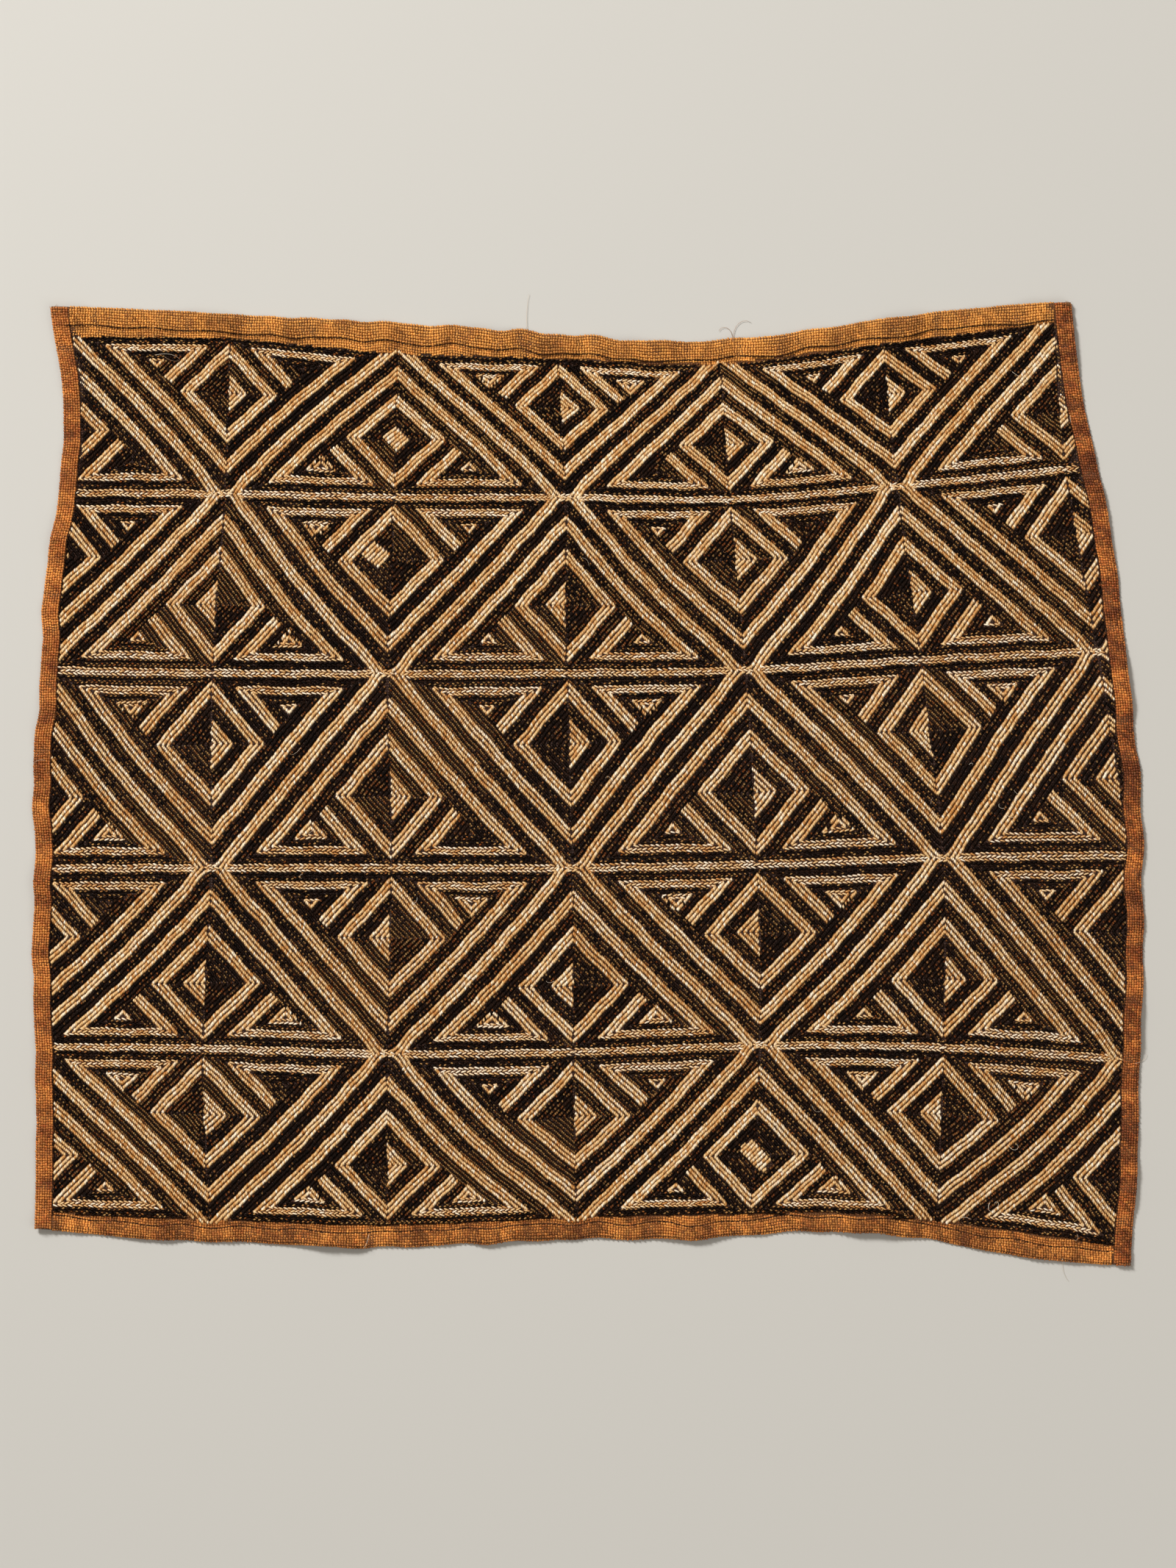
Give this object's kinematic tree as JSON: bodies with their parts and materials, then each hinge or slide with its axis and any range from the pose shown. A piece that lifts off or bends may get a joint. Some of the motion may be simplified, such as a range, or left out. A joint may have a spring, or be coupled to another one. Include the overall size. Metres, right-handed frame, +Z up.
{
  "type": "kuba raffia cloth",
  "caption": "Flat rectangular raffia cloth, covered in embroidered diamonds and zigzag bands in black and straw, with a turned golden-brown hem all round.",
  "frame": {"origin": "middle of the cloth's box, on the surface it lies on", "axes": "+X along the cloth's long way, +Y up its short way, +Z up out of the embroidered face"},
  "size_m": [0.5982, 0.5184, 0.0057],
  "materials": {
    "raffia": "plain-woven and embroidered raffia, dry and matt, dyed golden brown, black-brown and left straw"
  },
  "bodies": {
    "root": {"kuba_cloth": "raffia"}
  },
  "joints": []
}
